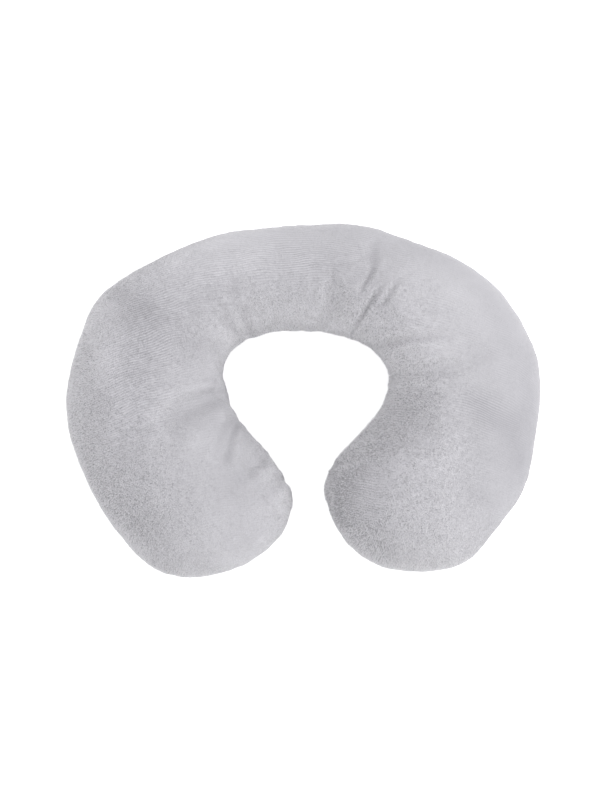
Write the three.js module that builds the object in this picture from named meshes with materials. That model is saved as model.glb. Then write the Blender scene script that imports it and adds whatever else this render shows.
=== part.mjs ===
// Neck pillow: a horseshoe of soft filling between two plush panels, sewn edge to edge.
// Millimetres, +Z up. It lies on its back panel on z = 0, and the neck goes in from -Y.
// The origin is the middle of the footprint.
import * as THREE from "three";

const seamHeight = 40; // of the seam that joins the two panels, above the surface
const seamDraw = 2.5; // how far the stitching draws the cover in
const seamReach = 0.16; // half the width of the drawn-in groove, in radians round a section
const seamSwell = 1.8; // how far the filling swells out beside the seam
const tipHalfWidth = 30; // sections narrower than this have a shallower groove
const crownPower = 0.91; // 1 gives a section an elliptical crown, and less a fuller one
const footStart = 0.66; // share of the way from seam to middle where the flat foot begins
const ringsPerRow = 4; // sections lofted from each row of the table to the next
const pointsRound = 36; // points round each section
const seamCrowding = 0.2; // 0 spaces those points evenly, and more crowds them at the seams

// The middle of the neck opening. Bearings are degrees round it, counted from +X to +Y.
const hub = { x: 0, y: 10 };

// Sections from the left arm's tip, round the back of the neck, to the right arm's tip.
// inner and outer are the radii of the section's two sides, under and over its lowest and
// highest points, and foot is the share of its width that lies flat on the surface.
const sections = [
  { bearing: 263.3, inner: 102, outer: 102, under: 40, over: 40, foot: 0 },
  { bearing: 262, inner: 91, outer: 123, under: 24, over: 57, foot: 0 },
  { bearing: 259.5, inner: 86, outer: 136, under: 13, over: 67, foot: 0.1 },
  { bearing: 255, inner: 77.5, outer: 153, under: 4, over: 77, foot: 0.22 },
  { bearing: 248, inner: 70, outer: 174, under: 0, over: 86, foot: 0.34 },
  { bearing: 240, inner: 65, outer: 193, under: 0, over: 91, foot: 0.42 },
  { bearing: 230, inner: 61.5, outer: 208.5, under: 0, over: 93, foot: 0.46 },
  { bearing: 220, inner: 62, outer: 208.5, under: 0, over: 94, foot: 0.48 },
  { bearing: 205, inner: 63, outer: 208.5, under: 0, over: 94, foot: 0.48 },
  { bearing: 190, inner: 66, outer: 210.5, under: 0, over: 93, foot: 0.48 },
  { bearing: 180, inner: 69, outer: 209.5, under: 0, over: 91, foot: 0.46 },
  { bearing: 170, inner: 72.5, outer: 203.5, under: 0, over: 89, foot: 0.45 },
  { bearing: 158, inner: 72.5, outer: 202, under: 0, over: 87, foot: 0.44 },
  { bearing: 151, inner: 71, outer: 192, under: 0, over: 86, foot: 0.43 },
  { bearing: 142, inner: 68.5, outer: 178.5, under: 0, over: 84, foot: 0.42 },
  { bearing: 130, inner: 61.5, outer: 166, under: 0, over: 82, foot: 0.4 },
  { bearing: 115, inner: 55.5, outer: 155, under: 0, over: 80, foot: 0.4 },
  { bearing: 100, inner: 51, outer: 148, under: 0, over: 79, foot: 0.4 },
  { bearing: 85, inner: 50.5, outer: 147.5, under: 0, over: 79, foot: 0.4 },
  { bearing: 70, inner: 52.5, outer: 154.5, under: 0, over: 80, foot: 0.4 },
  { bearing: 55, inner: 56, outer: 162, under: 0, over: 82, foot: 0.4 },
  { bearing: 42, inner: 61.5, outer: 175.5, under: 0, over: 85, foot: 0.42 },
  { bearing: 28, inner: 69, outer: 191.5, under: 0, over: 88, foot: 0.44 },
  { bearing: 15, inner: 74, outer: 201, under: 0, over: 90, foot: 0.46 },
  { bearing: 4, inner: 73.5, outer: 208.5, under: 0, over: 92, foot: 0.48 },
  { bearing: -10, inner: 70, outer: 209, under: 0, over: 93, foot: 0.48 },
  { bearing: -24, inner: 65, outer: 214, under: 0, over: 94, foot: 0.48 },
  { bearing: -38, inner: 61.5, outer: 210, under: 0, over: 94, foot: 0.48 },
  { bearing: -48, inner: 61.5, outer: 209.5, under: 0, over: 93, foot: 0.46 },
  { bearing: -58, inner: 63.5, outer: 190, under: 0, over: 91, foot: 0.42 },
  { bearing: -66, inner: 67, outer: 171, under: 0, over: 86, foot: 0.34 },
  { bearing: -72, inner: 74, outer: 151, under: 4, over: 77, foot: 0.22 },
  { bearing: -75.5, inner: 78.5, outer: 134, under: 13, over: 67, foot: 0.1 },
  { bearing: -77.6, inner: 86, outer: 116, under: 25, over: 56, foot: 0 },
  { bearing: -78.8, inner: 96, outer: 96, under: 40, over: 40, foot: 0 },
];

// The main creases of the front panel, from one bearing and radius to another.
// Width is the distance from a crease's lowest line to where it has faded to a third.
const creases = [
  { bearing: 248, radius: 66, toBearing: 241, toRadius: 92, depth: 4, width: 6 },
  { bearing: 229, radius: 60, toBearing: 237, toRadius: 92, depth: 5, width: 6 },
  { bearing: 198, radius: 64, toBearing: 223, toRadius: 96, depth: 4, width: 6 },
  { bearing: 184, radius: 66, toBearing: 195, toRadius: 120, depth: 6, width: 9 },
  { bearing: 161, radius: 72, toBearing: 159, toRadius: 108, depth: 4, width: 7 },
  { bearing: 137, radius: 64, toBearing: 124, toRadius: 92, depth: 3, width: 5 },
  { bearing: 69, radius: 52, toBearing: 73, toRadius: 99, depth: 4, width: 6 },
  { bearing: 47, radius: 58, toBearing: 56, toRadius: 118, depth: 6, width: 5 },
  { bearing: 57, radius: 98, toBearing: 64, toRadius: 142, depth: 4, width: 5 },
  { bearing: 29, radius: 70, toBearing: 20, toRadius: 136, depth: 5, width: 6 },
  { bearing: 6, radius: 74, toBearing: 7, toRadius: 140, depth: 5, width: 8 },
];

const plush = new THREE.MeshStandardMaterial({ color: 0xc4c3c8, roughness: 0.95, metalness: 0 });

// A tip is where a section has shrunk to nothing. Past it the loft would turn upside down,
// and that turned section, as the table's first and last row, rounds the tip off.
const turnedOver = (row) => ({
  ...row,
  inner: row.outer,
  outer: row.inner,
  under: row.over,
  over: row.under,
});

// Reads the table between its rows. Each curve carries three of the columns.
function loftCurves(rows) {
  const ends = [turnedOver(rows[1]), ...rows, turnedOver(rows.at(-2))];
  const curve = (a, b, c) =>
    new THREE.CatmullRomCurve3(
      ends.map((row) => new THREE.Vector3(row[a], row[b], row[c])),
      false,
      "catmullrom",
    );
  return { plan: curve("bearing", "inner", "outer"), height: curve("under", "over", "foot") };
}

function sectionAt(curves, place, rowCount) {
  const share = (place + 1) / (rowCount + 1); // the first real row is the curve's second
  const plan = curves.plan.getPoint(share);
  const height = curves.height.getPoint(share);
  return {
    bearing: THREE.MathUtils.degToRad(plan.x),
    middle: (plan.y + plan.z) / 2,
    halfWidth: (plan.z - plan.y) / 2,
    under: Math.max(0, height.x),
    over: height.y,
    foot: Math.max(0, height.z),
  };
}

// The angle round a section, from the outer seam over the crown to the inner seam and back.
const angleAt = (share) =>
  2 * Math.PI * share - seamCrowding * Math.sin(4 * Math.PI * share);

// A section's outline, as its distance out from the middle in half widths, and its height.
function outlineAt(section, angle) {
  if (angle <= Math.PI) {
    const side = Math.cos(angle);
    return {
      out: Math.sign(side) * Math.abs(side) ** crownPower,
      up: seamHeight + (section.over - seamHeight) * Math.sin(angle) ** crownPower,
    };
  }
  const side = Math.sign(Math.cos(angle));
  const share = Math.abs(Math.asin(Math.sin(angle))) / (Math.PI / 2);
  if (share > footStart) {
    return { out: (side * section.foot * (1 - share)) / (1 - footStart), up: section.under };
  }
  const turn = ((share / footStart) * Math.PI) / 2;
  return {
    out: side * (section.foot + (1 - section.foot) * Math.cos(turn)),
    up: seamHeight - (seamHeight - section.under) * Math.sin(turn),
  };
}

const planPoint = (bearing, radius) =>
  new THREE.Vector2(Math.cos(bearing), Math.sin(bearing)).multiplyScalar(radius);

// How deep the creases are at a place on the front panel.
function creaseDepth(bearing, radius) {
  const place = planPoint(bearing, radius);
  const depths = creases.map((crease) => {
    const from = planPoint(THREE.MathUtils.degToRad(crease.bearing), crease.radius);
    const to = planPoint(THREE.MathUtils.degToRad(crease.toBearing), crease.toRadius);
    const line = new THREE.Line3(new THREE.Vector3(...from, 0), new THREE.Vector3(...to, 0));
    const nearest = line.closestPointToPoint(new THREE.Vector3(...place, 0), true, new THREE.Vector3());
    const away = place.distanceTo(nearest) / crease.width;
    return crease.depth * Math.exp(-away * away);
  });
  return Math.max(...depths);
}

// One point of the cover, with the seam's groove and the creases worked in.
function coverPoint(section, angle) {
  const { out, up } = outlineAt(section, angle);
  const fromSeam = Math.abs(Math.asin(Math.sin(angle)));
  const groove =
    seamDraw *
    Math.min(1, section.halfWidth / tipHalfWidth) *
    Math.exp(-((fromSeam / seamReach) ** 2));
  const radius =
    section.middle + (section.halfWidth + seamSwell) * out - Math.sign(out) * groove;
  const crease = angle < Math.PI ? creaseDepth(section.bearing, radius) * Math.sin(angle) : 0;
  const place = planPoint(section.bearing, radius - crease * Math.cos(angle));
  return [hub.x + place.x, hub.y + place.y, up - crease * Math.sin(angle)];
}

// A closed skin over the rings, with one point at each tip.
function pillowGeometry() {
  const rowCount = sections.length;
  const ringCount = (rowCount - 1) * ringsPerRow;
  const curves = loftCurves(sections);
  const positions = [];
  for (let ring = 1; ring < ringCount; ring += 1) {
    const section = sectionAt(curves, ring / ringsPerRow, rowCount);
    for (let point = 0; point < pointsRound; point += 1) {
      positions.push(...coverPoint(section, angleAt(point / pointsRound)));
    }
  }
  const tips = [sections[0], sections.at(-1)].map((row) => {
    const place = planPoint(THREE.MathUtils.degToRad(row.bearing), row.inner);
    positions.push(hub.x + place.x, hub.y + place.y, seamHeight);
    return positions.length / 3 - 1;
  });

  const faces = [];
  const index = (ring, point) => (ring - 1) * pointsRound + (point % pointsRound);
  for (let point = 0; point < pointsRound; point += 1) {
    faces.push(tips[0], index(1, point + 1), index(1, point));
    faces.push(tips[1], index(ringCount - 1, point), index(ringCount - 1, point + 1));
    for (let ring = 1; ring < ringCount - 1; ring += 1) {
      faces.push(index(ring, point), index(ring + 1, point + 1), index(ring + 1, point));
      faces.push(index(ring, point), index(ring, point + 1), index(ring + 1, point + 1));
    }
  }

  const geometry = new THREE.BufferGeometry();
  geometry.setAttribute("position", new THREE.Float32BufferAttribute(positions, 3));
  geometry.setIndex(faces);
  geometry.computeBoundingBox();
  const middle = geometry.boundingBox.getCenter(new THREE.Vector3());
  geometry.translate(-middle.x, -middle.y, -geometry.boundingBox.min.z);
  geometry.computeVertexNormals();
  return geometry;
}

const pillow = new THREE.Mesh(pillowGeometry(), plush);
pillow.name = "pillow";

const neckPillow = new THREE.Group();
neckPillow.add(pillow);

export default neckPillow;
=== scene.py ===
# Neck pillow: two panels of light grey short-pile plush, sewn edge to edge round a fibre
# filling. It lies on its back panel and is seen from straight above.
import math

import bmesh
import bpy
import numpy as np
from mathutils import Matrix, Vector, noise
from mathutils.bvhtree import BVHTree


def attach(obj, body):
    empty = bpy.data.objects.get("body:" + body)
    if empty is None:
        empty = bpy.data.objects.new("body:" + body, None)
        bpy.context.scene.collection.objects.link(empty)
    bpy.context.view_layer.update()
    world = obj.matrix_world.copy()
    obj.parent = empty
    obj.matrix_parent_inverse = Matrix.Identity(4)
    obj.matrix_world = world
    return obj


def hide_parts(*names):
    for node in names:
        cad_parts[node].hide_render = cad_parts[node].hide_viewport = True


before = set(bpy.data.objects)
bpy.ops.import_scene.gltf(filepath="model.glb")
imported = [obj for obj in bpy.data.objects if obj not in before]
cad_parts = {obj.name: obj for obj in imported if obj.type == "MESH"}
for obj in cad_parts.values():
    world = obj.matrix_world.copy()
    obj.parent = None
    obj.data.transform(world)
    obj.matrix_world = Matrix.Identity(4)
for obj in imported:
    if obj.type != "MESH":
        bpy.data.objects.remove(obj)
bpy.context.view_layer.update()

scene = bpy.context.scene
mm = 0.001  # the sizes below are in millimetres, and Blender's are in metres


def toLinear(hexColour):
    # an sRGB hex colour as the linear values that shaders take
    channels = [int(hexColour[i : i + 2], 16) / 255 for i in (1, 3, 5)]
    linear = [c / 12.92 if c <= 0.04045 else ((c + 0.055) / 1.055) ** 2.4 for c in channels]
    return (*linear, 1.0)


def addNode(tree, kind, settings=None, inputs=None):
    # one node, with its settings, and each input set to a value or linked to a socket or to
    # another node's first output
    node = tree.nodes.new(kind)
    for name, value in (settings or {}).items():
        setattr(node, name, value)
    for key, value in (inputs or {}).items():
        if isinstance(value, bpy.types.Node):
            value = value.outputs[0]
        if isinstance(value, bpy.types.NodeSocket):
            tree.links.new(value, node.inputs[key])
        else:
            node.inputs[key].default_value = value
    return node


def smoothStep(low, high, values):
    t = np.clip((values - low) / (high - low), 0, 1)
    return t * t * (3 - 2 * t)


# The camera looks straight down at the front panel, with +Y up in its view.
camera = {
    "lens": 100.0,  # on a 36 mm sensor
    "tallSide": 707.4,  # how much the view's tall side takes in
    "aimHeight": 40.0,  # the height at which it does, which is the seam's
    "aimX": -4.0,
    "aimY": 0.0,
    "nearest": 0.01,  # in metres
    "farthest": 100.0,
}


def makeCamera():
    data = bpy.data.cameras.new("camera")
    data.lens = camera["lens"]
    data.clip_start, data.clip_end = camera["nearest"], camera["farthest"]
    obj = bpy.data.objects.new("camera", data)
    distance = camera["tallSide"] * camera["lens"] / data.sensor_width
    height = camera["aimHeight"] + distance
    obj.location = (camera["aimX"] * mm, camera["aimY"] * mm, height * mm)
    scene.collection.objects.link(obj)
    scene.camera = obj
    print("camera set")


# The filled form, lofted through sections that are measured on the frame's solid.
shape = {
    "hub": (0.0, 10.0),  # the middle of the neck opening, which the sections go round
    "rings": 256,  # sections from one arm's tip to the other's
    "pointsRound": 96,  # points round each section
    "seamHeight": 40.0,
    "shoulder": 14.0,  # above and below the seam, where the sides stand furthest out
    "outerInset": 3.0,  # how far inside the solid the cloth starts, because it swells
    "innerInset": 0.2,  # the same on the neck side, where it hardly does
    "crownPower": 0.9,  # 1 gives a section an elliptical crown, and less a fuller one
    "footShare": 0.48,  # share of a wide section's width that lies flat
    "footStart": 0.66,  # share of the way from seam to middle where the flat foot begins
    "lump": 1.4,  # how far the fibre filling's soft lumps stand out
    "lumpSize": 55.0,
    "lumpsFull": 15.0,  # the height above which they are full, because it lies flat below
    "tipTurn": 0.0035,  # how far past the last section a tip's point is, in radians
    "tipHalf": 30.0,  # half the width below which a section is inset less
    "crowding": 0.15,  # 0 spaces a section's points evenly, and more crowds them at the seams
    "footWidths": (15.0, 60.0),  # half widths between which the flat foot grows to its share
    "bearings": (-90, 280),  # in degrees, wide enough to take in both arms' tips
    "measureStep": 0.1,  # degrees between the sections that are measured
    "crownPlaces": (-0.3, -0.15, 0, 0.15, 0.3),  # where on a section its crown is measured
    "thinnest": 0.5,  # a measured span below this only grazes the solid
    "smoothing": {"bearing": 1.5, "middle": 1.5, "half": 1.5, "under": 3.0, "over": 5.0},
}


def rayRadius(tree, bearing, height, start):
    direction = Vector((math.cos(bearing), math.sin(bearing), 0))
    hub = Vector((*shape["hub"], height)) * mm
    hit = tree.ray_cast(hub + direction * start * mm, direction)[0]
    return None if hit is None else (hit - hub).length / mm


def rayHeight(tree, bearing, radius, fromBelow):
    x, y = planPoint(bearing, radius) * mm
    start, step = (-0.1, 1) if fromBelow else (0.3, -1)  # well below the solid or above it
    hit = tree.ray_cast(Vector((x, y, start)), Vector((0, 0, step)))[0]
    return shape["seamHeight"] if hit is None else hit.z / mm


def planPoint(bearing, radius):
    return np.array(shape["hub"]) + radius * np.array([math.cos(bearing), math.sin(bearing)])


def measureSection(tree, bearing):
    # inner and outer radius, and lowest and highest point, or None past an arm's tip
    spans = []
    for step in (-shape["shoulder"], 0, shape["shoulder"]):
        near = rayRadius(tree, bearing, shape["seamHeight"] + step, 0)
        inside = near and near + 0.2  # just past the side that was hit
        far = near and rayRadius(tree, bearing, shape["seamHeight"] + step, inside)
        if far and far - near > shape["thinnest"]:
            spans.append((near, far))
    if not spans:
        return None
    inner, outer = min(near for near, far in spans), max(far for near, far in spans)
    middle, half = (inner + outer) / 2, (outer - inner) / 2
    tops = [rayHeight(tree, bearing, middle + half * s, False) for s in shape["crownPlaces"]]
    return inner, outer, rayHeight(tree, bearing, middle, True), max(tops)


def measureFrame():
    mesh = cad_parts["pillow"].data
    tree = BVHTree.FromPolygons(
        [v.co for v in mesh.vertices], [p.vertices for p in mesh.polygons]
    )
    rows = []
    for bearing in np.radians(np.arange(*shape["bearings"], shape["measureStep"])):
        section = measureSection(tree, bearing)
        if section:
            rows.append((bearing, *section))
    return np.array(rows)


def blurred(values, sigma):
    # a running mean that leaves both ends in place
    reach = int(3 * sigma) + 1
    before = 2 * values[0] - values[reach:0:-1]
    after = 2 * values[-1] - values[-2 : -reach - 2 : -1]
    weights = np.exp(-0.5 * (np.arange(-reach, reach + 1) / sigma) ** 2)
    return np.convolve(np.concatenate([before, values, after]), weights / weights.sum(), "valid")


def makeRings():
    # sections from tip to tip, evenly spaced along the skin, each tip shrunk to a point
    rows = measureFrame()
    tips = []
    for row, step in ((rows[0], -shape["tipTurn"]), (rows[-1], shape["tipTurn"])):
        middle = (row[1] + row[2]) / 2
        tips.append([row[0] + step, middle, middle, shape["seamHeight"], shape["seamHeight"]])
    bearing, inner, outer, under, over = np.vstack([tips[0], rows, tips[1]]).T
    middle, half = (inner + outer) / 2, (outer - inner) / 2
    columns = {"bearing": bearing, "middle": middle, "half": half, "under": under, "over": over}
    steps = [np.diff(middle), np.diff(half), middle[1:] * np.diff(bearing), np.diff(over) / 2]
    along = np.concatenate([[0], np.cumsum(np.sqrt(sum(s**2 for s in steps)))])
    places = np.linspace(0, along[-1], shape["rings"] + 1)
    rings = {}
    for name, sigma in shape["smoothing"].items():
        rings[name] = blurred(np.interp(places, along, columns[name]), sigma)
    share = np.clip(rings["half"] / shape["tipHalf"], 0, 1)
    rings["middle"] += share * (shape["innerInset"] - shape["outerInset"]) / 2
    rings["half"] -= share * (shape["innerInset"] + shape["outerInset"]) / 2
    rings["half"] = np.maximum(rings["half"], 0)
    rings["under"] = np.maximum(rings["under"], 0)
    return rings


def sectionPoints(rings, angle):
    # the grid of skin points, a row for each ring and a column for each angle round it
    bearing, middle, half, under, over = (
        rings[k][1:-1, None] for k in ("bearing", "middle", "half", "under", "over")
    )
    seam, power = shape["seamHeight"], shape["crownPower"]
    cos, sin = np.cos(angle)[None], np.sin(angle)[None]
    side = np.sign(cos)
    foot = shape["footShare"] * smoothStep(*shape["footWidths"], half)
    footStart = 1 - (1 - shape["footStart"]) * foot / shape["footShare"]
    drop = np.abs(np.arcsin(sin)) / (math.pi / 2)  # 0 at a seam, 1 in the middle of a panel
    turn = np.clip(drop / footStart, 0, 1) * math.pi / 2
    onFoot = side * foot * (1 - drop) / np.maximum(1 - footStart, 1e-6)
    upWall = side * (foot + (1 - foot) * np.cos(turn))
    backOut = np.where(drop > footStart, onFoot, upWall)
    backUp = seam - (seam - under) * np.sin(turn)
    front = (angle <= math.pi)[None]
    out = np.where(front, side * np.abs(cos) ** power, backOut)
    up = np.where(front, seam + (over - seam) * np.abs(sin) ** power, backUp)
    radius = middle + half * out
    x = shape["hub"][0] + radius * np.cos(bearing)
    y = shape["hub"][1] + radius * np.sin(bearing)
    return np.stack([x, y, up], axis=-1)


def panelCoordinates(grid, rings):
    # each point's distance from the nearest seam, above zero on the front panel and below it
    # on the back, and its place on the flat panel that was cut for it
    count = grid.shape[1]
    steps = np.linalg.norm(np.roll(grid, -1, axis=1) - grid, axis=2)
    arc = np.concatenate([np.zeros((len(grid), 1)), np.cumsum(steps, axis=1)], axis=1)
    frontGirth, girth = arc[:, count // 2, None], arc[:, -1, None]
    arc = arc[:, :-1]
    onFront = arc <= frontGirth
    own = np.where(onFront, frontGirth, girth - frontGirth)
    walked = np.where(onFront, arc, girth - arc)  # from the outer seam
    fromSeam = np.minimum(walked, own - walked) * np.where(onFront, 1, -1)
    across = rings["middle"][1:-1, None] + girth / 2 * (0.5 - walked / own)
    bearing = rings["bearing"][1:-1, None]
    panel = np.stack([across * np.cos(bearing), across * np.sin(bearing), 0 * across], axis=-1)
    return fromSeam, panel


def skinMesh():
    rings = makeRings()
    share = np.arange(shape["pointsRound"]) / shape["pointsRound"]
    angle = 2 * math.pi * share - shape["crowding"] * np.sin(4 * math.pi * share)
    grid = sectionPoints(rings, angle)
    fromSeam, panel = panelCoordinates(grid, rings)
    ringCount, count = grid.shape[:2]
    tips = []
    for end in (0, -1):
        tips.append([*planPoint(rings["bearing"][end], rings["middle"][end]), shape["seamHeight"]])
    points = np.vstack([grid.reshape(-1, 3), tips])
    ring, spoke = np.meshgrid(np.arange(ringCount - 1), np.arange(count), indexing="ij")
    a, b = ring * count + spoke, ring * count + (spoke + 1) % count
    faces = np.stack([a, a + count, b + count, b], axis=-1).reshape(-1, 4).tolist()
    first, last = len(points) - 2, len(points) - 1
    for i in range(count):
        j = (i + 1) % count
        faces.append((first, i, j))
        faces.append((last, (ringCount - 1) * count + j, (ringCount - 1) * count + i))
    mesh = bpy.data.meshes.new("pillow_plush")
    mesh.from_pydata((points * mm).tolist(), [], faces)
    panelTips = [panel[0].mean(axis=0), panel[-1].mean(axis=0)]
    storeFloats(mesh, "fromSeam", np.append(fromSeam.ravel(), [0, 0]))
    storeFloats(mesh, "outward", np.append(np.tile(np.cos(angle), ringCount), [0, 0]))
    storeVectors(mesh, "panel", np.vstack([panel.reshape(-1, 3), panelTips]) * mm)
    return mesh


def readVectors(items, name):
    values = np.empty(len(items) * 3)
    items.foreach_get(name, values)
    return values.reshape(-1, 3)


def readPoints(mesh):
    return readVectors(mesh.vertices, "co") / mm


def writePoints(mesh, points):
    mesh.vertices.foreach_set("co", (points * mm).ravel())
    mesh.update()


def readNormals(mesh):
    return readVectors(mesh.vertices, "normal")


def readFloats(mesh, name):
    values = np.empty(len(mesh.vertices))
    mesh.attributes[name].data.foreach_get("value", values)
    return values


def storeFloats(mesh, name, values):
    layer = mesh.attributes.get(name) or mesh.attributes.new(name, "FLOAT", "POINT")
    layer.data.foreach_set("value", np.asarray(values, np.float32))


def storeVectors(mesh, name, values):
    layer = mesh.attributes.get(name) or mesh.attributes.new(name, "FLOAT_VECTOR", "POINT")
    layer.data.foreach_set("vector", np.asarray(values, np.float32).ravel())


# Each pattern's own place in the noise, so that no two are alike, and its octaves.
noisePlaces = {
    "lumps": (0.0, 2),
    "puckers": (3.0, 1),
    "rows": (5.0, 2),
    "mottle": (7.0, 3),
    "clearRows": (9.0, 2),
    "swirl": (11.0, 2),
}


def noiseAt(points, size, pattern):
    # smooth noise from about -1 to 1, with features of about that size in millimetres
    offset, octaves = noisePlaces[pattern]
    place = Vector((offset, -offset, 0.5 * offset))
    return np.array([noise.fractal(Vector(p) / size + place, 1.0, 2.0, octaves) for p in points])


# The front panel's creases. Each runs from one bearing and radius round the hub to another.
# bend bows its middle to the left. Its widths are from the lowest line to where it fades, at
# its start and its end. lean makes its left side steeper, and lip raises the ridges beside it.
creases = [
    # bearing, radius, toBearing, toRadius, bend, depth, width, toWidth, lean, lip
    (59.6, 97, 60.4, 125, -0.6, 2.8, 2.0, 2.4, 0.3, 0.15),
    (60.4, 122, 66.0, 146, 0.0, 2.2, 4.0, 7.0, 0.3, 0.1),
    (49.0, 66, 53.0, 112, 1.0, 3.4, 2.3, 2.6, 0.4, 0.2),
    (46.5, 97, 49.3, 127, -1.0, 2.8, 2.4, 3.2, 0.2, 0.2),
    (66.0, 60, 73.0, 102, 1.0, 4.5, 8.0, 9.0, 0.6, 0.4),
    (73.0, 54, 77.0, 72, 0.0, 2.2, 5.0, 4.0, 0.2, 0.2),
    (29.0, 76, 19.5, 140, 2.0, 2.6, 3.6, 5.0, -0.5, 0.7),
    (10.0, 112, 11.0, 166, -3.0, 1.8, 5.0, 7.0, 0.0, 0.3),
    (8.0, 74, 5.5, 140, 2.0, 2.8, 5.5, 7.0, -0.3, 0.4),
    (0.0, 138, -11.0, 188, 4.0, 2.5, 9.0, 12.0, 0.0, 0.2),
    (163.0, 72, 158.0, 110, 0.0, 2.6, 5.0, 10.0, 0.3, 0.3),
    (183.0, 71, 193.5, 127, -2.0, 6.0, 6.0, 12.0, -0.3, 0.8),
    (203.0, 64, 223.5, 98, -2.0, 4.5, 5.0, 6.0, 0.4, 0.5),
    (230.0, 66, 238.0, 94, 0.0, 2.8, 6.0, 6.0, 0.3, 0.4),
    (241.0, 62, 241.0, 80, 0.0, 2.5, 5.0, 4.0, 0.0, 0.2),
    (256.0, 80, 247.0, 106, 1.0, 4.0, 5.0, 8.0, 0.2, 0.3),
    (126.0, 104, 121.0, 134, 0.0, 2.2, 7.0, 9.0, 0.0, 0.2),
    (137.0, 66, 126.0, 92, 1.0, 2.2, 4.0, 5.0, 0.0, 0.3),
    (143.0, 74, 141.0, 96, 0.0, 1.8, 4.0, 5.0, 0.0, 0.2),
]

creasing = {
    "looks": 1.02,  # they are given as the camera sees them, with the crown this much larger
    "overrun": 0.2,  # how far past its ends a crease is worked out, as a share of its length
    "startFade": (-0.12, 0.2),  # where it grows to its depth, as a share of its length
    "endFade": (-0.12, 0.25),  # the same from its other end
    "leaning": 0.45,  # how much narrower its steep side is at a lean of 1
    "ridgeAt": 2.0,  # how many widths from its lowest line the ridges stand
    "ridgeWidth": 0.9,
    "ridgeHeight": 0.6,  # as a share of its depth, at a lip of 1
}


def creaseLift(points):
    # how far the creases lift each point of the front panel, mostly below zero
    seen = points[:, :2] * creasing["looks"]
    ridgeAt, ridgeWidth = creasing["ridgeAt"], creasing["ridgeWidth"]
    lift = np.zeros(len(points))
    for bearing, radius, toBearing, toRadius, bend, depth, width, toWidth, lean, lip in creases:
        start = planPoint(math.radians(bearing), radius)
        chord = planPoint(math.radians(toBearing), toRadius) - start
        length = np.linalg.norm(chord)
        ahead = chord / length
        left = np.array([-ahead[1], ahead[0]])
        along = (seen - start) @ ahead / length
        near = (along > -creasing["overrun"]) & (along < 1 + creasing["overrun"])
        t = along[near]
        across = (seen[near] - start) @ left - bend * 4 * t * (1 - t)
        reach = width + (toWidth - width) * np.clip(t, 0, 1)
        q = np.abs(across) / (reach * (1 - creasing["leaning"] * lean * np.sign(across)))
        fade = smoothStep(*creasing["startFade"], t) * smoothStep(*creasing["endFade"], 1 - t)
        ridge = creasing["ridgeHeight"] * lip * np.exp(-(((q - ridgeAt) / ridgeWidth) ** 2))
        lift[near] += depth * fade * (ridge - np.exp(-(q**2)))
    return lift


# The panels are cut a little larger than the form they cover, and the filling pushes them
# out between the seams, so the spare cloth gathers into folds along the seams.
settle = {
    "frames": 20,
    "quality": 6,
    "pressure": 4.0,
    "mass": 0.25,
    "stretch": 20.0,
    "shear": 10.0,
    "bending": 0.4,
    "spare": 0.03,  # share by which the panels are larger than the form
    "innerSpare": 0.12,  # the same where the pillow bends round the neck
    "cap": 7.0,  # how far the cloth may move
    "calm": 8.0,  # over how many sections its movement is evened out near the outer seam
    "calmFrom": (0.3, 0.85),  # where that starts and is full, from 0 in the middle to 1 outside
    "seed": 0.5,  # share of a crease's depth that is there before the cloth settles
    "after": 0.6,  # share that is pressed in again afterwards
    "fade": 12.0,  # how far from the seam the creases reach their full depth
    "neck": (-0.75, 0.45),  # where the neck side is and how wide, from -1 inside to 1 outside
    "neckEnds": 0.2,  # further out than this it isn't the neck side
}


def addWeights(obj, name, weights):
    group = obj.vertex_groups.new(name=name)
    for index in np.flatnonzero(weights > 0.001):
        group.add([int(index)], float(weights[index]), "REPLACE")
    return group.name


def settleCloth(obj):
    mesh = obj.data
    points = readPoints(mesh)
    onSeam = np.abs(readFloats(mesh, "fromSeam")) < 0.01
    outward = readFloats(mesh, "outward")
    neck, spread = settle["neck"]
    neckSide = np.exp(-(((outward - neck) / spread) ** 2)) * (outward < settle["neckEnds"])
    cloth = obj.modifiers.new("cloth", "CLOTH")
    settings = cloth.settings
    settings.quality = settle["quality"]
    settings.mass = settle["mass"]
    settings.tension_stiffness = settings.compression_stiffness = settle["stretch"]
    settings.shear_stiffness = settle["shear"]
    settings.bending_stiffness = settle["bending"]
    settings.use_pressure = True
    settings.uniform_pressure_force = settle["pressure"]
    settings.vertex_group_mass = addWeights(obj, "sewn", onSeam * 1.0)
    settings.vertex_group_shrink = addWeights(obj, "neckSide", neckSide)
    settings.shrink_min = -settle["spare"]
    settings.shrink_max = -settle["innerSpare"]
    settings.effector_weights.gravity = 0
    cloth.collision_settings.use_collision = False
    cloth.collision_settings.use_self_collision = False
    for number in range(1, settle["frames"] + 1):
        scene.frame_set(number)
    step = readPoints(obj.evaluated_get(bpy.context.evaluated_depsgraph_get()).data) - points
    obj.modifiers.remove(cloth)
    obj.vertex_groups.clear()
    scene.frame_set(1)
    grid = step[:-2].reshape(-1, shape["pointsRound"], 3)
    even = np.apply_along_axis(blurred, 0, grid, settle["calm"]).reshape(-1, 3)
    share = smoothStep(*settle["calmFrom"], outward[:-2])[:, None]
    step[:-2] += (even - step[:-2]) * share
    distance = np.linalg.norm(step, axis=1)
    print("cloth moved by", distance.mean().round(2), "mm, at most", distance.max().round(2))
    cap = settle["cap"]
    step *= (cap * np.tanh(distance / cap) / np.maximum(distance, 1e-6))[:, None]
    points += step
    points[:, 2] = np.maximum(points[:, 2], 0)  # it lies flat where it touches the surface
    writePoints(mesh, points)


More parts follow.
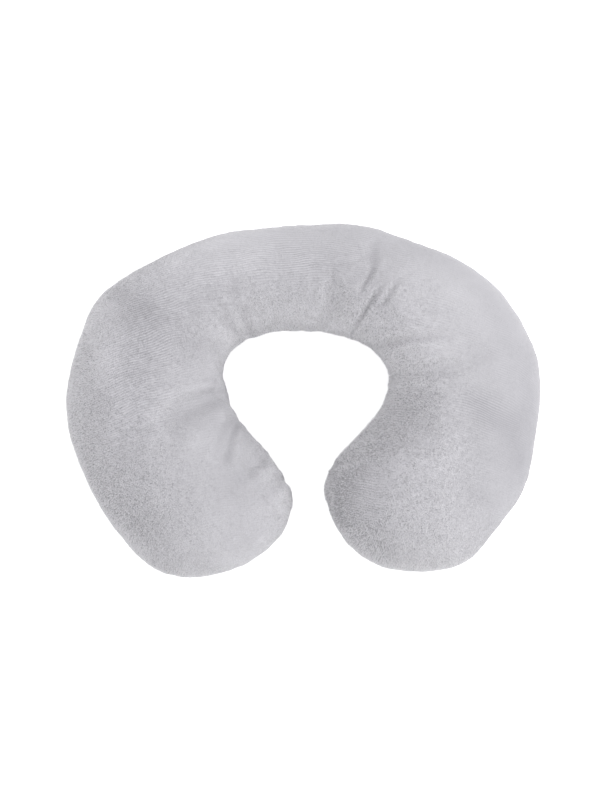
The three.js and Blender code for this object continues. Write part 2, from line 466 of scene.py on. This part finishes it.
# The seam is drawn in between the panels, and the sewing gathers it into small puckers.
seam = {
    "draw": 2.2,  # how deep the stitching lies below the panels
    "reach": 3.2,  # half the groove's width
    "pucker": 1.4,  # how high the puckers stand
    "puckerReach": 11.0,  # how far they run out over the panels
    "puckerStart": 4.0,  # how far from the stitching they have their height
    "puckerSpacing": 9.0,
    "puckerLength": 0.25,  # less makes them run further up and down from the seam
    "puckerApart": 40.0,  # so that the two panels' puckers differ
}


def seamLift(points, fromSeam):
    distance = np.abs(fromSeam)
    lift = -seam["draw"] * np.exp(-((distance / seam["reach"]) ** 2))
    near = np.flatnonzero(distance < 3 * seam["puckerReach"])
    place = points[near] * np.array([1, 1, seam["puckerLength"]])
    apart = seam["puckerApart"]
    place[:, 2] += np.where(fromSeam[near] > 0, apart, -apart)
    ripple = noiseAt(place, seam["puckerSpacing"], "puckers")
    rise = smoothStep(0, seam["puckerStart"], distance[near])
    rise *= np.exp(-((distance[near] / seam["puckerReach"]) ** 2))
    lift[near] += seam["pucker"] * ripple * rise
    return lift


def applyModifier(obj, modifier):
    before = obj.data
    graph = bpy.context.evaluated_depsgraph_get()
    obj.data = bpy.data.meshes.new_from_object(obj.evaluated_get(graph))
    obj.modifiers.remove(modifier)
    bpy.data.meshes.remove(before)
    obj.data.name = obj.name


def makePillow():
    obj = bpy.data.objects.new("pillow_plush", skinMesh())
    scene.collection.objects.link(obj)
    points, normals = readPoints(obj.data), readNormals(obj.data)
    frontShare = smoothStep(0, settle["fade"], readFloats(obj.data, "fromSeam"))
    lift = settle["seed"] * creaseLift(points) * frontShare
    upShare = smoothStep(0, shape["lumpsFull"], points[:, 2])
    lift += shape["lump"] * noiseAt(points, shape["lumpSize"], "lumps") * upShare
    writePoints(obj.data, points + normals * lift[:, None])
    settleCloth(obj)
    split = obj.modifiers.new("split", "SUBSURF")
    split.levels = split.render_levels = 1
    applyModifier(obj, split)
    points, normals = readPoints(obj.data), readNormals(obj.data)
    fromSeam = readFloats(obj.data, "fromSeam")
    lift = settle["after"] * creaseLift(points) * smoothStep(0, settle["fade"], fromSeam)
    lift += seamLift(points, fromSeam)
    points += normals * lift[:, None]
    points[:, 2] = np.maximum(points[:, 2], 0)
    writePoints(obj.data, points)
    obj.data.shade_smooth()
    print("pillow skin has", len(obj.data.polygons), "faces")
    return obj


# Where the pile has been brushed another way it shows darker (-) or paler (+), and many of these
# patches are painted light and shade as well: they make the pile paler or darker where light falls
# on it more or less. The weaker patches aren't marks of their own: they are painted light and
# shade that trim the tone that the others and the light leave.
# Each has its middle, its size, the tilt of its long side in degrees, and its strength.
brushAndShadePatches = [
    # x, y, long, wide, tilt, strength
    (-135, 72, 26, 16, -20, -0.9),
    (-163, 93, 10, 8, 0, -0.7),
    (-136, 31, 24, 16, 60, -0.2),
    (-170, 38, 22, 14, 70, 1.1),
    (-95, -20, 30, 12, 24, -0.5),
    (-102, -10, 28, 6, 26, -0.5),
    (-182, -70, 14, 26, 20, -0.6),
    (-24, -68, 8, 12, 30, 0.5),
    (-66, 42, 12, 18, 0, 0.3),
    (-50, -132, 50, 22, 20, 0.25),
    (-154, -97, 20, 10, 110, -0.1),
    (-152, -124, 34, 12, -50, 0.7),
    (-100, 46, 14, 22, 0, -0.5),
    (-128, -115, 28, 26, 0, -0.35),
    (-66, -76, 26, 18, 0, -0.3),
    (-19, -84, 10, 36, 0, 0.6),
    (-180, 70, 14, 18, 0, 0.5),
    (-68, -6, 10, 20, 0, 0.35),
    (76, 4, 10, 20, 0, 0.6),
    (38, -92, 20, 34, 0, -0.55),
    (92, -52, 15, 38, 0, 0.35),
    (-80, 88, 48, 20, 0, -0.25),
    (187, 0, 14, 26, 0, 0.35),
    (-60, -142, 22, 10, 10, 0.35),
    (58, 124, 16, 12, 0, -0.35),
    (-57, 119, 16, 10, 20, 0.5),
    (-105, 126, 60, 13, 25, 0.7),
    (-40, 146, 60, 13, 5, 0.5),
    (-5, 64, 62, 18, 0, 0.9),
    (-70, 40, 12, 22, -30, 0.6),
    (-8, 108, 34, 14, 0, -0.15),
    (27, 124, 20, 14, 60, -0.4),
    (115, 42, 28, 22, 0, 0.4),
    (140, 78, 62, 44, -42, 0.55),
    (66, 102, 24, 11, 65, -0.3),
    (93, 0, 22, 16, 20, -0.7),
    (66, -34, 30, 20, 50, -0.95),
    (30, -55, 12, 18, 0, -0.5),
    (38, -66, 22, 14, 70, -1.1),
    (31, -97, 20, 12, 100, -1.2),
    (46, -112, 18, 16, 0, -1.0),
    (67, -128, 18, 10, -30, -0.6),
    (122, -86, 32, 30, 0, 0.4),
    (118, -48, 34, 22, 50, 0.4),
    (155, -9, 24, 10, -40, -0.7),
    (196, -32, 50, 13, 90, -0.5),
    (146, -80, 16, 8, -20, -0.3),
    (160, -120, 22, 12, 60, -0.5),
    (-153, -12, 16, 26, 0, 0.45),
    (-166, -98, 18, 20, 0, -0.4),
    (-122, -144, 26, 14, -30, -0.4),
    (150, -14, 20, 14, 0, -0.3),
    (92, 62, 18, 28, 0, 0.4),
    (22, -84, 10, 28, 0, -0.8),
    (-62, 66, 26, 24, 0, -0.3),
    (80, -56, 20, 16, 0, 0.6),
    (100, 38, 22, 22, 0, 0.4),
    (-176, 32, 12, 20, 0, 0.3),
    (-56, -62, 18, 12, 0, -0.3),
    (-134, 60, 24, 24, 0, -0.25),
    (24, -104, 10, 18, 0, -0.8),
    (108, -98, 18, 40, 0, 0.45),
    (28, 62, 44, 10, -10, 0.4),
    (104, 28, 18, 20, 0, 0.3),
    (-105, 56, 26, 40, 0, -0.25),
    (-178, 62, 10, 26, 0, 0.3),
    (158, 106, 18, 9, -35, 0.35),
    (66, -2, 8, 10, 0, 0.4),
    (-98, -72, 22, 22, 0, -0.3),
    (144, -94, 20, 18, 0, -0.3),
    (152, 42, 14, 14, 0, -0.25),
    (-80, 2, 16, 16, 0, 0.4),
    (96, -98, 28, 32, 0, 0.35),
    (28, -66, 10, 22, 0, -0.25),
    (-165, 74, 22, 18, 0, 0.3),
    (-122, 56, 26, 12, 0, 0.2),
    (-150, -102, 24, 18, -30, -0.25),
    (146, -58, 16, 44, 0, -0.2),
    (150, 46, 16, 18, 0, -0.2),
    (180, 20, 12, 44, 0, 0.2),
    (50, 116, 50, 12, -15, -0.2),
    (74, -2, 9, 14, 0, 0.25),
    (132, -138, 14, 12, 0, 0.3),
]


# Where the pile stands up and its speckle shows (+), or lies sleek (-). Each 1 doubles or
# halves it.
raisedPatches = [
    # x, y, long, wide, tilt, strength
    (202, 10, 120, 62, 97, -2.6),
    (172, -92, 60, 42, 60, -0.9),
    (125, 142, 95, 46, -30, -2.2),
    (-20, 158, 120, 34, 5, -1.8),
    (-72, -25, 85, 36, 100, -1.5),
    (-48, -130, 55, 34, 20, -0.9),
    (-172, -50, 85, 34, 95, 0.8),
    (45, -80, 60, 26, 80, 1.9),
    (95, 10, 60, 30, 100, 0.8),
    (60, 80, 26, 20, 0, 0.4),
    (112, -96, 34, 40, 0, 0.5),
    (-153, 45, 50, 30, 80, 0.3),
]


def patchSum(points, patches):
    total = np.zeros(len(points))
    for x, y, length, width, tilt, strength in patches:
        cos, sin = math.cos(math.radians(tilt)), math.sin(math.radians(tilt))
        dx, dy = points[:, 0] - x, points[:, 1] - y
        u, v = (dx * cos + dy * sin) / length, (dy * cos - dx * sin) / width
        total += strength * np.exp(-(u**2 + v**2))
    return total


# The knitted rows run across the pillow and droop towards its arms.
rows = {
    "spacing": 2.1,
    "droop": 0.0012,  # for each square millimetre from the middle
    "waver": 2.0,  # how far they stray
    "waverSize": 25.0,
    "show": 0.1,  # how clear they are where no patch makes them clearer
    "patchy": 0.25,  # how much that differs from place to place
    "patchSize": 16.0,
    "clearest": 0.9,
    "widest": (1.2, 2.2),  # how much wider than their spacing they are where they fade out
    "flattest": 0.05,  # the least that is divided by where they hardly run
    "tone": 1.5,  # how much paler the pile is in a row, and darker between two
}

# Where the rows show most.
rowPatches = [
    # x, y, long, wide, tilt, strength
    (-150, 36, 72, 36, 80, 0.85),
    (-95, 100, 50, 24, 40, 0.4),
    (0, 122, 62, 20, 0, 0.6),
    (152, -9, 24, 18, -20, 0.5),
    (95, 60, 30, 20, 30, 0.3),
    (78, -6, 24, 24, 0, 0.5),
    (48, -80, 40, 22, 80, 0.5),
]


def rowWays(mesh, phase):
    # at each point, the way and the distance on the skin that moves it one unit of phase
    corners = np.empty(len(mesh.loops), int)
    mesh.loops.foreach_get("vertex_index", corners)
    corners = corners.reshape(-1, 4)
    points = readPoints(mesh)
    a, b, c = (points[corners[:, i]] for i in (0, 1, 3))
    rise, along = phase[corners[:, 1]] - phase[corners[:, 0]], b - a
    climb, beside = phase[corners[:, 3]] - phase[corners[:, 0]], c - a
    normal = np.cross(along, beside)
    slope = np.cross(beside, normal) * rise[:, None] + np.cross(normal, along) * climb[:, None]
    slope /= np.maximum((normal**2).sum(axis=1), 1e-9)[:, None]
    way = slope / np.maximum((slope**2).sum(axis=1), rows["flattest"])[:, None]
    total = np.zeros_like(points)
    for i in range(4):
        np.add.at(total, corners[:, i], way / 4)
    return total


# How the finished pile was brushed, and the painted light and shade that go with its patches.
brushing = {
    "sleekest": -2.3,  # the limits of what the raised patches add up to
    "tallest": 2.0,
    "longest": 1.4,  # how long the tufts get where the pile stands, times their length
    "level": -0.38,  # tone added everywhere
    "sleekShade": 1.2,  # and painted shade for each halving, where the gaps between the tufts close up and lose their own shade
    "raisedLight": 0.55,  # and painted light for each doubling, where they open and their shade deepens
    "mottle": 0.3,
    "mottleSize": 30.0,
    "lean": 0.45,  # how far the tufts lean, and 1 is 45 degrees
    "swirl": 0.9,  # how far the way they lean turns, in radians
    "swirlSize": 60.0,
    "frontFade": (-6.0, 10.0),  # from the seam, where the front panel's patches set in
    "lengthen": 1.5,  # the power of 2 by which the tufts get longer for each doubling
    "straighten": 0.7,  # and by which they lean less for each doubling or halving
    "evenRows": 0.4,  # how much less the tufts differ in tone where the rows are clear
    "openRows": 0.3,  # how much slimmer they are there
}


def dressPillow(obj):
    # what the pile and the finish read from the skin
    mesh = obj.data
    points, normals = readPoints(mesh), readNormals(mesh)
    front = smoothStep(*brushing["frontFade"], readFloats(mesh, "fromSeam"))
    standing = np.clip(patchSum(points, raisedPatches), brushing["sleekest"], brushing["tallest"])
    sleek, tall = np.minimum(standing, 0), np.maximum(standing, 0)
    # the tone: how the pile was brushed, with painted light and shade from the patches and the
    # tones below
    nap = patchSum(points, brushAndShadePatches) * front + brushing["level"]
    nap += brushing["mottle"] * noiseAt(points, brushing["mottleSize"], "mottle")
    # painted shade where the pile lies sleek and painted light where it stands, to even out how
    # the light falls on it
    nap += brushing["sleekShade"] * sleek + brushing["raisedLight"] * tall
    storeFloats(mesh, "nap", nap)

    x, y = readVectors(mesh.attributes["panel"].data, "vector").T[:2] / mm
    phase = y + rows["droop"] * x**2
    phase += rows["waver"] * noiseAt(points, rows["waverSize"], "rows")
    storeFloats(mesh, "rowPhase", phase * mm)
    ways = rowWays(mesh, phase)
    stretch = np.maximum(np.linalg.norm(ways, axis=1), rows["flattest"])  # 2 is twice as wide
    clear = rows["show"] + rows["patchy"] * noiseAt(points, rows["patchSize"], "clearRows")
    clear = np.clip(clear + patchSum(points, rowPatches) * front, 0, rows["clearest"])
    clear *= 1 - smoothStep(*rows["widest"], stretch)
    storeFloats(mesh, "rowClear", clear)

    # how deep the gaps are, which scales their painted shade and the speckle
    depth = 2 ** np.minimum(standing, plush["deepest"])
    storeFloats(mesh, "gapDepth", depth)
    storeFloats(mesh, "speckle", depth * (1 - brushing["evenRows"] * clear))
    storeFloats(mesh, "tuftWidth", 1 - brushing["openRows"] * clear)
    length = 2 ** (brushing["lengthen"] * standing)
    storeFloats(mesh, "tuftLength", np.minimum(length, brushing["longest"]))
    turn = brushing["swirl"] * noiseAt(points, brushing["swirlSize"], "swirl")
    down = -ways / stretch[:, None]
    comb = down * np.cos(turn)[:, None] + np.cross(normals, down) * np.sin(turn)[:, None]
    lean = brushing["lean"] * 2 ** (-brushing["straighten"] * np.abs(standing)) * (1 - clear)
    storeVectors(mesh, "tuftLean", comb * lean[:, None])
    print("pillow brushed, rows clear over", round(float((clear > 0.5).mean()) * 100), "per cent")


# The sheet of white paper that it lies on, which is lit from behind to stay plain.
paper = {
    "size": 16.0,  # in metres
    "below": 0.5,  # how far it lies under the back panel
    "colour": "#F6F6F6",
    "roughness": 0.9,
    "glow": 0.45,
}


def makeFloor():
    half = paper["size"] / 2
    mesh = bpy.data.meshes.new("paper_floor")
    corners = [(x * half, y * half, 0) for x, y in ((-1, -1), (1, -1), (1, 1), (-1, 1))]
    mesh.from_pydata(corners, [], [(0, 1, 2, 3)])
    floor = bpy.data.objects.new("paper_floor", mesh)
    floor.location.z = -paper["below"] * mm
    scene.collection.objects.link(floor)
    finish = bpy.data.materials.new("white_paper_matt")
    finish.use_nodes = True
    shader = finish.node_tree.nodes["Principled BSDF"]
    shader.inputs["Base Color"].default_value = toLinear(paper["colour"])
    shader.inputs["Roughness"].default_value = paper["roughness"]
    shader.inputs["Emission Color"].default_value = (1, 1, 1, 1)
    shader.inputs["Emission Strength"].default_value = paper["glow"]
    mesh.materials.append(finish)
    print("floor laid")


# Soft daylight from all round, and two large windows, one low on the right and one overhead.
light = {
    "sky": 1.04,
    "windows": {"right": (0, 20, 16.1), "above": (0, 89, 10.4)},  # bearing, elevation, watts
    "windowSize": 1.6,  # in metres
    "windowDistance": 2.4,
}


def makeLight():
    world = bpy.data.worlds.new("soft_studio")
    world.use_nodes = True
    background = world.node_tree.nodes["Background"]
    background.inputs["Color"].default_value = (1, 1, 1, 1)
    background.inputs["Strength"].default_value = light["sky"]
    scene.world = world
    for name, (bearing, elevation, watts) in light["windows"].items():
        data = bpy.data.lights.new("window_" + name, "AREA")
        data.size = light["windowSize"]
        data.energy = watts
        lamp = bpy.data.objects.new("window_" + name, data)
        turn, tilt = math.radians(bearing), math.radians(elevation)
        away = (math.cos(tilt) * math.cos(turn), math.cos(tilt) * math.sin(turn), math.sin(tilt))
        lamp.location = Vector(away) * light["windowDistance"]
        lamp.rotation_euler = (-lamp.location).to_track_quat("-Z", "Y").to_euler()
        scene.collection.objects.link(lamp)
    scene.view_settings.view_transform = "Standard"
    print("light set")


# Plush: knitted polyester with a short pile, cut and then brushed. The pile is matt, darker where
# it is brushed against the light and paler where it is brushed with it, and it has a pale bloom
# where it is seen edge on. Its tone between the dark and the pale colour also holds painted light
# and shade. Its knitted ground shows between the tufts, with painted shade that makes it darker
# where they stand up, and in stripes where the rows are clear.
plush = {
    "dark": "#A2A1A6",
    "pale": "#EAE9ED",
    # painted shade: the colour of the ground where shade falls between the tufts
    "gapShadeColour": "#A5A3A9",
    "darkNap": -3.6,  # the tone, brushed nap and painted light and shade, at which it has the dark colour
    "paleNap": 1.2,
    "deepest": 1.14,  # the raise past which the painted shade in the gaps gets no darker
    "gapShadeTone": -0.5,  # painted shade: how much darker the ground is than the pile
    "gapShadeShare": 0.15,  # how much of the painted gap shade's colour it has
    "roughness": 0.95,
    "bloom": 0.35,
    "bloomSpread": 0.4,
}


def plushFinish(name, ground):
    finish = bpy.data.materials.new(name)
    finish.use_nodes = True
    tree = finish.node_tree
    tree.nodes.clear()
    sums, read = "ShaderNodeMath", "ShaderNodeAttribute"
    # the pile's tone, both brushed nap and painted light and shade
    nap = addNode(tree, read, {"attribute_name": "nap"}).outputs["Fac"]
    if ground:
        deep = addNode(tree, read, {"attribute_name": "gapDepth"}).outputs["Fac"]
        phase = addNode(tree, read, {"attribute_name": "rowPhase"}).outputs["Fac"]
        clear = addNode(tree, read, {"attribute_name": "rowClear"}).outputs["Fac"]
        step = {"operation": "MULTIPLY_ADD"}
        # painted shade: the ground is darker where the tufts stand up and the gaps are deep
        nap = addNode(tree, sums, step, {0: deep, 1: plush["gapShadeTone"], 2: nap})
        half = rows["spacing"] / 2 * mm
        inRow = addNode(tree, sums, {"operation": "PINGPONG"}, {0: phase, 1: half})
        ends = {0: inRow, 2: half, 3: -rows["tone"], 4: rows["tone"]}
        inRow = addNode(tree, "ShaderNodeMapRange", None, ends)
        nap = addNode(tree, sums, step, {0: inRow, 1: clear, 2: nap})
    ends = {0: nap, 1: plush["darkNap"], 2: plush["paleNap"]}
    shade = addNode(tree, "ShaderNodeMapRange", {"clamp": True}, ends)
    ends = {0: shade, 6: toLinear(plush["dark"]), 7: toLinear(plush["pale"])}
    colour = addNode(tree, "ShaderNodeMix", {"data_type": "RGBA"}, ends).outputs[2]
    if ground:
        # painted shade: the ground takes a share of the dark gap colour
        ends = {0: plush["gapShadeShare"], 6: colour, 7: toLinear(plush["gapShadeColour"])}
        colour = addNode(tree, "ShaderNodeMix", {"data_type": "RGBA"}, ends).outputs[2]
    looks = {
        "Base Color": colour,
        "Roughness": plush["roughness"],
        "Sheen Weight": plush["bloom"],
        "Sheen Roughness": plush["bloomSpread"],
    }
    shader = addNode(tree, "ShaderNodeBsdfPrincipled", None, looks)
    addNode(tree, "ShaderNodeOutputMaterial", None, {"Surface": shader})
    return finish


# The pile: short tufts that lean the way the cloth was brushed, with clear rows in places.
# Each stands for a few hundred fibres, which are too fine to show.
pile = {
    "Row spacing": rows["spacing"] * mm,  # the rows are those of the knitted ground
    "Row tone": rows["tone"],
    "Tuft spacing": 0.8 * mm,  # the least between two tufts
    "Width": 1.15 * mm,
    "Length": 1.7 * mm,
    "Ruffle": 0.3,  # how unevenly they lean
    "Tone": 3.2,  # how much they differ in tone
    "Gap shade": 5.4,  # painted shade: how much darker they are at the foot than at the tip
    "Flattened": 1.2 * mm,  # below this height the pile is pressed flat
    "Clearance": 0.1 * mm,  # and no tuft comes below this one
    "Size spread": 0.25,  # how much larger or smaller than usual a tuft may be
    "Even tone": 0.33,  # more makes most of them paler beside the few dark ones
    "Even height": 0.35,  # from the middle of a tuft, where it has its own tone
    "Most tufts": 7000000.0,  # for each square metre, before the spacing thins them
    "Seed": 7,
}


def pileTree():
    tree = bpy.data.node_groups.new("plush_pile", "GeometryNodeTree")
    tree.interface.new_socket("Skin", in_out="INPUT", socket_type="NodeSocketGeometry")
    tree.interface.new_socket("Finish", in_out="INPUT", socket_type="NodeSocketMaterial")
    for name, value in pile.items():
        kind = "NodeSocketInt" if name == "Seed" else "NodeSocketFloat"
        tree.interface.new_socket(name, in_out="INPUT", socket_type=kind).default_value = value
    tree.interface.new_socket("Pile", in_out="OUTPUT", socket_type="NodeSocketGeometry")
    given = addNode(tree, "NodeGroupInput").outputs
    sums, ways, chance = "ShaderNodeMath", "ShaderNodeVectorMath", "FunctionNodeRandomValue"
    store, place = "GeometryNodeStoreNamedAttribute", "GeometryNodeSetPosition"
    plus, minus, times = ({"operation": key} for key in ("ADD", "SUBTRACT", "MULTIPLY"))
    named = "GeometryNodeInputNamedAttribute"
    onSkin = {}
    for name in ("nap", "rowPhase", "rowClear", "gapDepth", "speckle", "tuftWidth", "tuftLength"):
        onSkin[name] = addNode(tree, named, None, {"Name": name})
    lean = addNode(tree, named, {"data_type": "FLOAT_VECTOR"}, {"Name": "tuftLean"})

    # one tuft, a three-sided cone that keeps how high each of its corners is
    cone = {"Vertices": 3, "Side Segments": 1, "Radius Bottom": 0.5, "Depth": 1.0}
    tuft = addNode(tree, "GeometryNodeMeshCone", {"fill_type": "NONE"}, cone)
    tuft = addNode(tree, "GeometryNodeSetShadeSmooth", None, {0: tuft})
    spot = addNode(tree, "GeometryNodeInputPosition")
    x, y, z = addNode(tree, "ShaderNodeSeparateXYZ", None, {0: spot}).outputs
    tuft = addNode(tree, store, None, {"Geometry": tuft, "Name": "upTuft", "Value": z})

    # a root for each tuft, none where the pile is pressed flat
    scatter = {
        "Mesh": given["Skin"],
        "Distance Min": given["Tuft spacing"],
        "Density Max": given["Most tufts"],
        "Seed": given["Seed"],
    }
    settings = {"distribute_method": "POISSON"}
    roots = addNode(tree, "GeometryNodeDistributePointsOnFaces", settings, scatter)
    normal = roots.outputs["Normal"]
    low = addNode(tree, sums, {"operation": "LESS_THAN"}, {0: z, 1: given["Flattened"]})
    pressed = {"Geometry": roots, "Selection": low}
    roots = addNode(tree, "GeometryNodeDeleteGeometry", {"domain": "POINT"}, pressed)

    # each leans the way it was brushed, and a little of its own, but not in clear rows
    uneven = addNode(tree, sums, minus, {0: 1.0, 1: onSkin["rowClear"]})
    uneven = addNode(tree, sums, times, {0: uneven, 1: given["Ruffle"]})
    own = {0: (-1, -1, -1), 1: (1, 1, 1), "Seed": 5}
    own = addNode(tree, chance, {"data_type": "FLOAT_VECTOR"}, own)
    own = addNode(tree, ways, {"operation": "SCALE"}, {0: own, "Scale": uneven})
    aim = addNode(tree, ways, plus, {0: normal, 1: lean})
    aim = addNode(tree, ways, plus, {0: aim, 1: own})
    turn = addNode(tree, "FunctionNodeAlignRotationToVector", {"axis": "Z"}, {"Vector": aim})
    least = addNode(tree, sums, minus, {0: 1.0, 1: given["Size spread"]})
    most = addNode(tree, sums, plus, {0: 1.0, 1: given["Size spread"]})
    size = addNode(tree, chance, None, {2: least, 3: most, "Seed": 9}).outputs[1]
    wide = addNode(tree, sums, times, {0: given["Width"], 1: size})
    wide = addNode(tree, sums, times, {0: wide, 1: onSkin["tuftWidth"]})
    tall = addNode(tree, sums, times, {0: given["Length"], 1: size})
    tall = addNode(tree, sums, times, {0: tall, 1: onSkin["tuftLength"]})
    scale = addNode(tree, "ShaderNodeCombineXYZ", None, {0: wide, 1: wide, 2: tall})
    standing = {"Points": roots, "Instance": tuft, "Rotation": turn, "Scale": scale}
    tufts = addNode(tree, "GeometryNodeInstanceOnPoints", None, standing)

    # its tone: a few tufts are much darker, and those between two rows are darker too
    draw = addNode(tree, chance, None, {2: 0.0, 3: 1.0, "Seed": 11}).outputs[1]
    draw = addNode(tree, sums, times, {0: draw, 1: draw})
    own = addNode(tree, sums, minus, {0: given["Even tone"], 1: draw})
    own = addNode(tree, sums, times, {0: own, 1: given["Tone"]})
    own = addNode(tree, sums, times, {0: own, 1: onSkin["speckle"]})
    half = addNode(tree, sums, times, {0: given["Row spacing"], 1: 0.5})
    inRow = addNode(tree, sums, {"operation": "PINGPONG"}, {0: onSkin["rowPhase"], 1: half})
    full = addNode(tree, sums, minus, {0: 0.0, 1: given["Row tone"]})
    ends = {0: inRow, 2: half, 3: full, 4: given["Row tone"]}
    inRow = addNode(tree, "ShaderNodeMapRange", None, ends)
    inRow = addNode(tree, sums, times, {0: inRow, 1: onSkin["rowClear"]})
    tone = addNode(tree, sums, plus, {0: onSkin["nap"], 1: inRow})
    tone = addNode(tree, sums, plus, {0: tone, 1: own})
    toned = {"Geometry": tufts, "Name": "nap", "Value": tone}
    tufts = addNode(tree, store, {"domain": "INSTANCE"}, toned)

    # made real, kept above the surface it lies on, and given painted shade from foot to tip
    real = addNode(tree, "GeometryNodeRealizeInstances", None, {0: tufts})
    above = addNode(tree, sums, {"operation": "MAXIMUM"}, {0: z, 1: given["Clearance"]})
    above = addNode(tree, "ShaderNodeCombineXYZ", None, {0: x, 1: y, 2: above})
    real = addNode(tree, place, None, {"Geometry": real, "Position": above})
    upTuft = addNode(tree, named, None, {"Name": "upTuft"})
    shade = addNode(tree, sums, minus, {0: upTuft, 1: given["Even height"]})
    shade = addNode(tree, sums, times, {0: shade, 1: given["Gap shade"]})
    shade = addNode(tree, sums, times, {0: shade, 1: onSkin["gapDepth"]})
    shade = addNode(tree, sums, plus, {0: shade, 1: onSkin["nap"]})
    real = addNode(tree, store, None, {"Geometry": real, "Name": "nap", "Value": shade})
    finished = {"Geometry": real, "Material": given["Finish"]}
    finished = addNode(tree, "GeometryNodeSetMaterial", None, finished)
    addNode(tree, "NodeGroupOutput", None, {0: finished})
    return tree


def growPile(skin, tree, finish, side, half, part):
    # the pile on one part of the skin, as a piece of its own
    mesh = skin.data.copy()
    x, y, z = readVectors(mesh.polygons, "center").T / mm
    kept = (z > shape["seamHeight"]) == (side == "front")
    kept &= (x < 0) == (half == "left")
    kept &= (y < 0) == (part == "arm")
    name = "pile_" + "_".join((side, half, part))
    form = bmesh.new()
    form.from_mesh(mesh)
    form.faces.ensure_lookup_table()
    bmesh.ops.delete(form, geom=[f for f in form.faces if not kept[f.index]], context="FACES")
    form.to_mesh(mesh)
    form.free()
    obj = bpy.data.objects.new(name, mesh)
    scene.collection.objects.link(obj)
    grow = obj.modifiers.new("grow", "NODES")
    grow.node_group = tree
    sockets = {s.name: s.identifier for s in tree.interface.items_tree if s.in_out == "INPUT"}
    for key, value in pile.items():
        grow[sockets[key]] = value
    grow[sockets["Finish"]] = finish
    applyModifier(obj, grow)
    print(name, "has", len(obj.data.polygons), "faces")
    return obj


makeCamera()
pillow = makePillow()
dressPillow(pillow)
pillow.data.materials.append(plushFinish("polyester_plush_knitted_ground", True))
finish = plushFinish("polyester_plush_cut_pile", False)
tree = pileTree()
pieces = []
for side in ("front", "back"):
    for half in ("left", "right"):
        for part in ("arm", "band"):
            pieces.append(growPile(pillow, tree, finish, side, half, part))
for piece in pieces:
    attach(piece, "root")
makeFloor()
makeLight()
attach(pillow, "root")
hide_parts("pillow")
